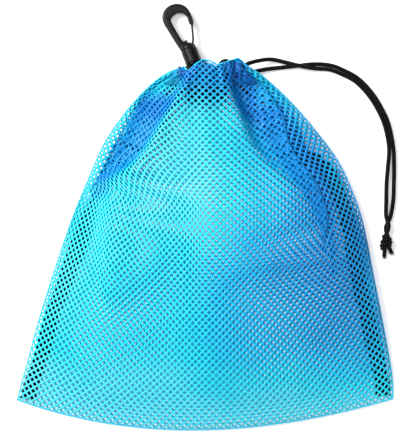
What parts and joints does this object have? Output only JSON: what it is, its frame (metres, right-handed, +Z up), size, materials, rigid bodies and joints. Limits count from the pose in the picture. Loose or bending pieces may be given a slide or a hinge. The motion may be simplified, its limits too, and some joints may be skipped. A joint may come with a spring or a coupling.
{
  "type": "mesh drawstring bag with swivel snap hook",
  "caption": "Flat-lying netting bag with bound side seams, a gathered neck closed by a knotted drawcord, and a swivel snap hook on a webbing loop.",
  "frame": {"origin": "middle of the bag and hook on the floor, under the bag as it lies on its back", "axes": "+X to the bag's right side seen from above, +Y from the bottom fold to the hook, +Z up from the floor"},
  "size_m": [0.2849, 0.3199, 0.0306],
  "materials": {
    "netting": "PVC-coated polyester netting, semi-gloss",
    "tape": "woven binding tape, matt",
    "cord": "braided polyester cord, matt",
    "webbing": "woven webbing, matt",
    "acetal": "moulded acetal, satin"
  },
  "bodies": {
    "bag": {"front_panel": "netting", "back_panel": "netting", "left_seam_tape": "tape", "right_seam_tape": "tape", "neck_casing": "netting", "drawcord_in_casing": "cord", "cord_strand_outer": "cord", "cord_strand_inner": "cord", "cord_knot": "cord", "hook_webbing": "webbing"},
    "swivel": {"swivel_eye": "acetal"},
    "hook": {"hook_body": "acetal"},
    "gate": {"hook_gate": "acetal"}
  },
  "joints": [
    {"name": "hook_swing", "type": "hinge", "parent": "bag", "child": "swivel", "pos_m": [-0.00693, 0.11161, 0.00735], "axis": [0.9336, 0.3584, 0], "range_deg": [0, 30]},
    {"name": "hook_swivel", "type": "hinge", "parent": "swivel", "child": "hook", "pos_m": [-0.01036, 0.12055, 0.00659], "axis": [-0.3573, 0.9307, -0.0785], "continuous": true},
    {"name": "gate_flex", "type": "hinge", "parent": "hook", "child": "gate", "pos_m": [-0.00958, 0.12854, 0.00603], "axis": [-0.0281, 0.0732, 0.9969], "range_deg": [0, 22], "stiffness_Nm_per_rad": 0.05, "springref_deg": -5.73}
  ]
}
